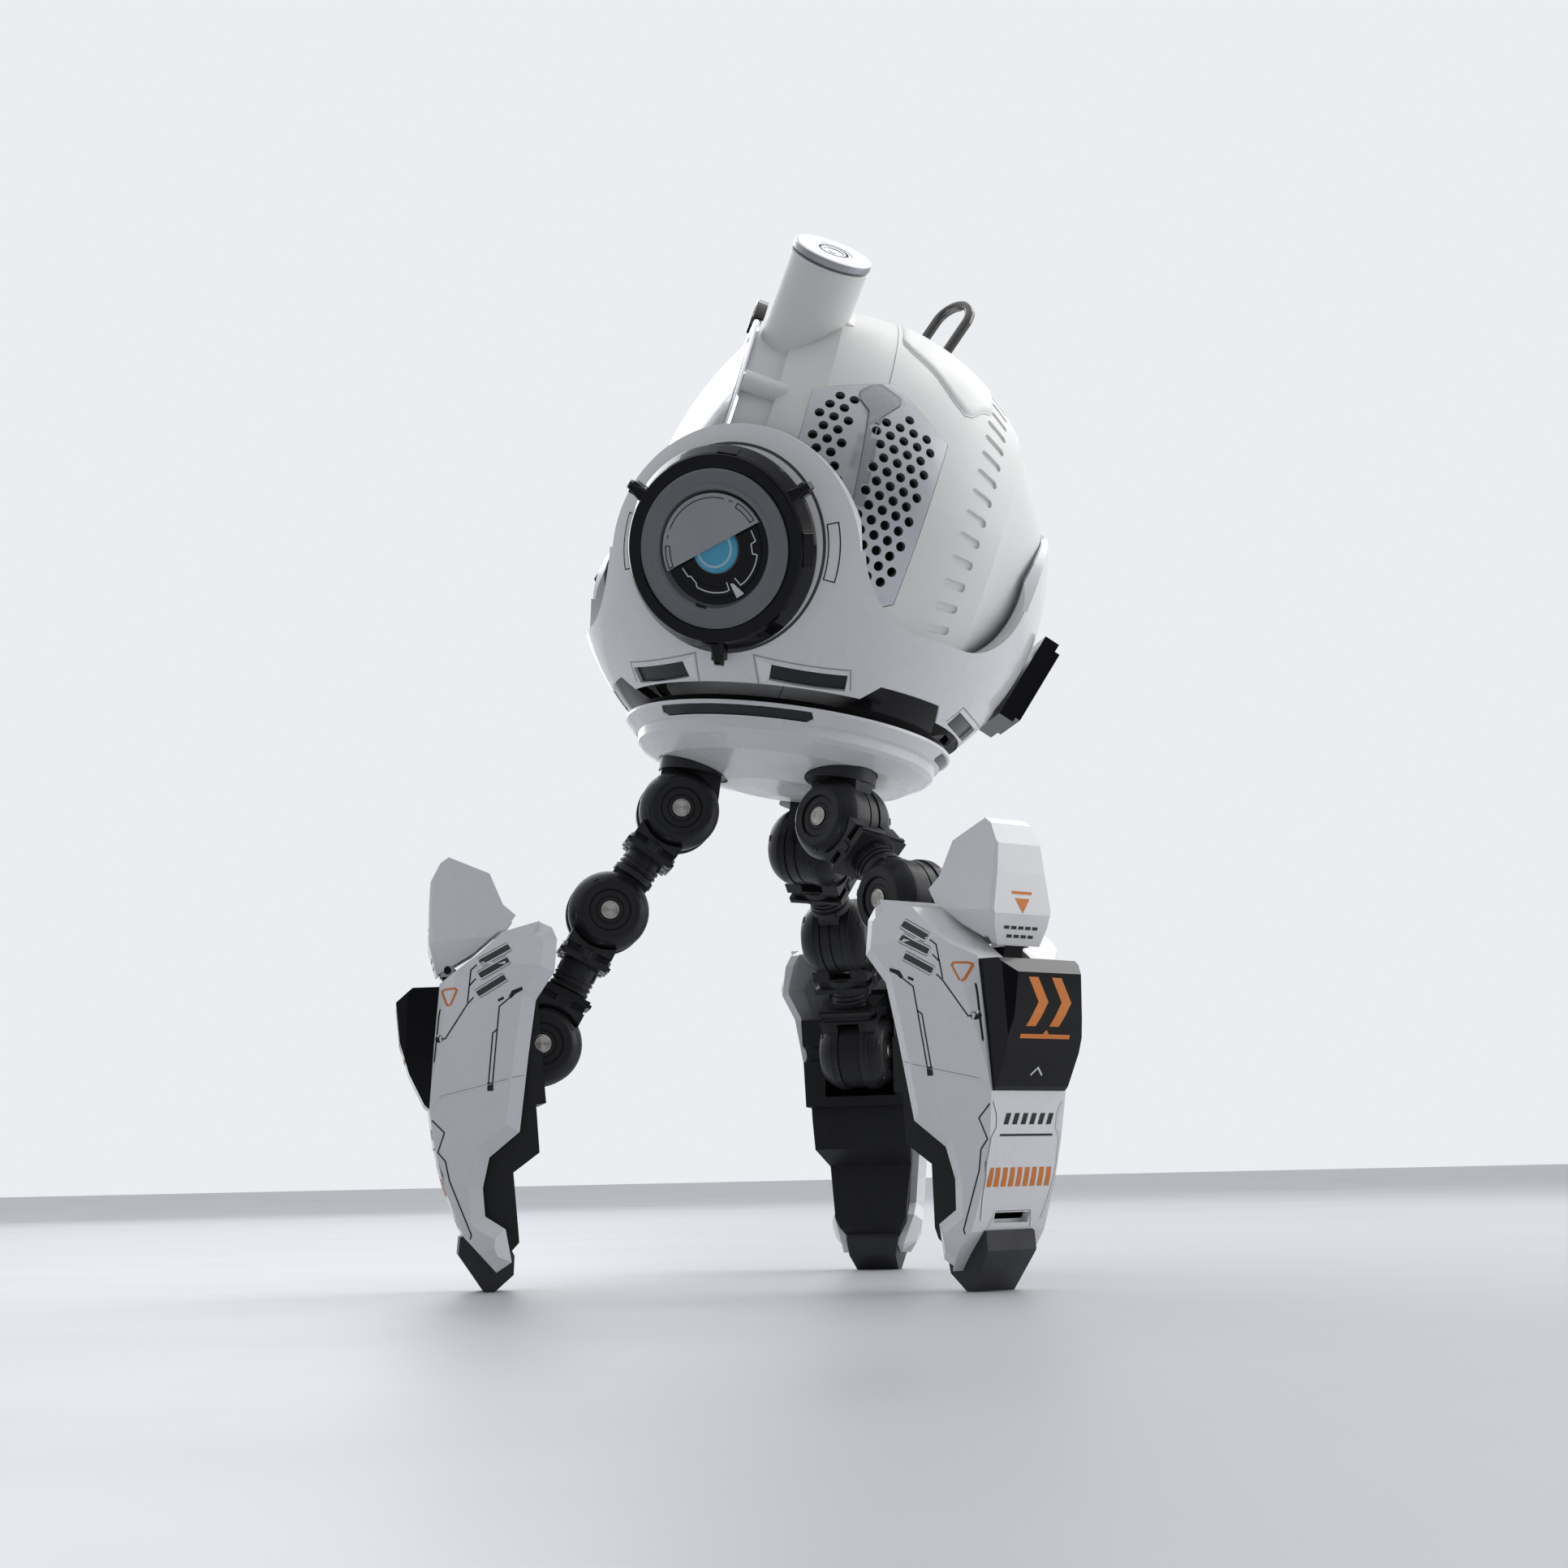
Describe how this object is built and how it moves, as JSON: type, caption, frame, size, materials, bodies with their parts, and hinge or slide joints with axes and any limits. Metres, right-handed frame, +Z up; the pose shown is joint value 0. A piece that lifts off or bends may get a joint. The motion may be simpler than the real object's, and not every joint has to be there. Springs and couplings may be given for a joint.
{
  "type": "three-legged robot figure",
  "caption": "Posable three-legged robot figure: round head pod in a lobed cradle, round eye modules, and knuckle-jointed legs ending in armoured shanks.",
  "frame": {"origin": "on the ground, under the middle of the figure's bounding box", "axes": "+Z up, the face looks along -Y, +X is the figure's left"},
  "size_m": [0.1872, 0.1792, 0.2728],
  "materials": {
    "white_gloss": "gloss",
    "white_satin": "satin",
    "black_gloss": "gloss",
    "black_plastic": "semi-gloss",
    "dark_pocket": "satin",
    "silver_grille": "satin",
    "grey_satin": "satin",
    "black_chrome": "mirror",
    "rim_chrome": "mirror",
    "clear_dome": "clear",
    "cap_aluminium": "brushed",
    "pin_steel": "turned",
    "toe_rubber": "matt",
    "speaker": "matt",
    "board": "satin",
    "cell": "satin"
  },
  "bodies": {
    "head": {"cradle_shell": "white_gloss", "accent_band": "black_gloss", "base_plate": "white_gloss", "dark_inserts": "dark_pocket", "pod_front_shell": "white_satin", "pod_rear_shell": "white_satin", "hoop_handle": "black_chrome", "side_grilles": "silver_grille", "speaker_drivers": "speaker", "circuit_board": "board", "battery_pack": "cell", "face_rim": "rim_chrome", "face_screen": "black_gloss", "face_dome": "clear_dome", "top_tube": "white_satin", "eye_bezels": "black_gloss", "eye_rings": "grey_satin", "rear_panel": "black_gloss"},
    "button": {"top_button": "cap_aluminium"},
    "lid_left": {"eyelid_left": "grey_satin"},
    "lid_right": {"eyelid_right": "grey_satin"},
    "leg1_yoke": {"leg1_hip_yoke": "black_plastic"},
    "leg1_thigh": {"leg1_hip_pin": "pin_steel", "leg1_upper_fork": "black_plastic"},
    "leg1_knee": {"leg1_upper_neck": "black_plastic"},
    "leg1_shin": {"leg1_knee_pin": "pin_steel", "leg1_lower_fork": "black_plastic"},
    "leg1_ankle": {"leg1_lower_neck": "black_plastic", "leg1_ankle_pin": "pin_steel"},
    "leg1_shank": {"leg1_shank_frame": "black_plastic", "leg1_armour_shell": "white_gloss", "leg1_number_box": "black_gloss", "leg1_toe": "toe_rubber"},
    "leg1_fin": {"leg1_top_fin": "white_gloss"},
    "leg2_yoke": {"leg2_hip_yoke": "black_plastic"},
    "leg2_thigh": {"leg2_hip_pin": "pin_steel", "leg2_upper_fork": "black_plastic"},
    "leg2_knee": {"leg2_upper_neck": "black_plastic"},
    "leg2_shin": {"leg2_knee_pin": "pin_steel", "leg2_lower_fork": "black_plastic"},
    "leg2_ankle": {"leg2_lower_neck": "black_plastic", "leg2_ankle_pin": "pin_steel"},
    "leg2_shank": {"leg2_shank_frame": "black_plastic", "leg2_armour_shell": "white_gloss", "leg2_number_box": "black_gloss", "leg2_toe": "toe_rubber"},
    "leg2_fin": {"leg2_top_fin": "white_gloss"},
    "leg3_yoke": {"leg3_hip_yoke": "black_plastic"},
    "leg3_thigh": {"leg3_hip_pin": "pin_steel", "leg3_upper_fork": "black_plastic"},
    "leg3_knee": {"leg3_upper_neck": "black_plastic"},
    "leg3_shin": {"leg3_knee_pin": "pin_steel", "leg3_lower_fork": "black_plastic"},
    "leg3_ankle": {"leg3_lower_neck": "black_plastic", "leg3_ankle_pin": "pin_steel"},
    "leg3_shank": {"leg3_shank_frame": "black_plastic", "leg3_armour_shell": "white_gloss", "leg3_number_box": "black_gloss", "leg3_toe": "toe_rubber"},
    "leg3_fin": {"leg3_top_fin": "white_gloss"}
  },
  "joints": [
    {"name": "top_button_press", "type": "slide", "parent": "head", "child": "button", "axis": [0.6157, 0.2539, 0.746], "range_m": [-0.0007, 0], "stiffness_N_per_m": 500, "springref_m": 0.001},
    {"name": "eyelid_left_turn", "type": "hinge", "parent": "head", "child": "lid_left", "pos_m": [0.05678, -0.01219, 0.18231], "axis": [0.8138, -0.5162, -0.267], "range_deg": [-55, 55]},
    {"name": "eyelid_right_turn", "type": "hinge", "parent": "head", "child": "lid_right", "pos_m": [-0.05715, -0.01219, 0.18231], "axis": [-0.8138, -0.5162, -0.267], "range_deg": [-55, 55]},
    {"name": "leg1_hip_swivel", "type": "hinge", "parent": "head", "child": "leg1_yoke", "pos_m": [-0.00018, -0.01263, 0.12399], "axis": [0, 0.1513, 0.9885], "range_deg": [-15, 15]},
    {"name": "leg1_hip_hinge", "type": "hinge", "parent": "leg1_yoke", "child": "leg1_thigh", "pos_m": [-0.00018, -0.0153, 0.12439], "axis": [-1, 0, 0], "range_deg": [-20, 22]},
    {"name": "leg1_upper_twist", "type": "hinge", "parent": "leg1_thigh", "child": "leg1_knee", "pos_m": [-0.00018, -0.0153, 0.12439], "axis": [0, 0.5762, 0.8173], "range_deg": [-20, 20]},
    {"name": "leg1_knee_hinge", "type": "hinge", "parent": "leg1_knee", "child": "leg1_shin", "pos_m": [-0.00018, -0.03443, 0.09726], "axis": [-1, 0, 0], "range_deg": [-20, 25]},
    {"name": "leg1_lower_twist", "type": "hinge", "parent": "leg1_shin", "child": "leg1_ankle", "pos_m": [-0.00018, -0.03443, 0.09726], "axis": [0, 0.4585, 0.8887], "range_deg": [-20, 20]},
    {"name": "leg1_ankle_hinge", "type": "hinge", "parent": "leg1_ankle", "child": "leg1_shank", "pos_m": [-0.00018, -0.05231, 0.0626], "axis": [-1, 0, 0], "range_deg": [-16, 5]},
    {"name": "leg1_fin_hinge", "type": "hinge", "parent": "leg1_shank", "child": "leg1_fin", "pos_m": [-0.00018, -0.07641, 0.082], "axis": [1, 0, 0], "range_deg": [0, 28]},
    {"name": "leg2_hip_swivel", "type": "hinge", "parent": "head", "child": "leg2_yoke", "pos_m": [0.02103, 0.0237, 0.11843], "axis": [0, 0.1513, 0.9885], "range_deg": [-15, 15]},
    {"name": "leg2_hip_hinge", "type": "hinge", "parent": "leg2_yoke", "child": "leg2_thigh", "pos_m": [0.02325, 0.02523, 0.11819], "axis": [0.5736, -0.8097, 0.1239], "range_deg": [-20, 22]},
    {"name": "leg2_upper_twist", "type": "hinge", "parent": "leg2_thigh", "child": "leg2_knee", "pos_m": [0.02325, 0.02523, 0.11819], "axis": [-0.6409, -0.3495, 0.6834], "range_deg": [-20, 20]},
    {"name": "leg2_knee_hinge", "type": "hinge", "parent": "leg2_knee", "child": "leg2_shin", "pos_m": [0.04453, 0.03683, 0.0955], "axis": [0.4787, -0.878, 0], "range_deg": [-20, 25]},
    {"name": "leg2_lower_twist", "type": "hinge", "parent": "leg2_shin", "child": "leg2_ankle", "pos_m": [0.04453, 0.03683, 0.0955], "axis": [-0.3239, -0.1766, 0.9295], "range_deg": [-20, 20]},
    {"name": "leg2_ankle_hinge", "type": "hinge", "parent": "leg2_ankle", "child": "leg2_shank", "pos_m": [0.05599, 0.04308, 0.0626], "axis": [0.4787, -0.878, 0], "range_deg": [-16, 0]},
    {"name": "leg2_fin_hinge", "type": "hinge", "parent": "leg2_shank", "child": "leg2_fin", "pos_m": [0.07715, 0.05462, 0.082], "axis": [-0.4787, 0.878, 0], "range_deg": [0, 28]},
    {"name": "leg3_hip_swivel", "type": "hinge", "parent": "head", "child": "leg3_yoke", "pos_m": [-0.0214, 0.0237, 0.11843], "axis": [0, 0.1513, 0.9885], "range_deg": [-15, 15]},
    {"name": "leg3_hip_hinge", "type": "hinge", "parent": "leg3_yoke", "child": "leg3_thigh", "pos_m": [-0.02357, 0.02528, 0.11818], "axis": [0.5936, 0.7955, -0.1217], "range_deg": [-20, 22]},
    {"name": "leg3_upper_twist", "type": "hinge", "parent": "leg3_thigh", "child": "leg3_knee", "pos_m": [-0.02357, 0.02528, 0.11818], "axis": [0.626, -0.3614, 0.6911], "range_deg": [-20, 20]},
    {"name": "leg3_knee_hinge", "type": "hinge", "parent": "leg3_knee", "child": "leg3_shin", "pos_m": [-0.04436, 0.03728, 0.09524], "axis": [0.5, 0.866, 0], "range_deg": [-20, 25]},
    {"name": "leg3_lower_twist", "type": "hinge", "parent": "leg3_shin", "child": "leg3_ankle", "pos_m": [-0.04436, 0.03728, 0.09524], "axis": [0.3352, -0.1935, 0.9221], "range_deg": [-20, 20]},
    {"name": "leg3_ankle_hinge", "type": "hinge", "parent": "leg3_ankle", "child": "leg3_shank", "pos_m": [-0.05622, 0.04413, 0.0626], "axis": [0.5, 0.866, 0], "range_deg": [-16, 1]},
    {"name": "leg3_fin_hinge", "type": "hinge", "parent": "leg3_shank", "child": "leg3_fin", "pos_m": [-0.07709, 0.05618, 0.082], "axis": [-0.5, -0.866, 0], "range_deg": [0, 28]}
  ]
}
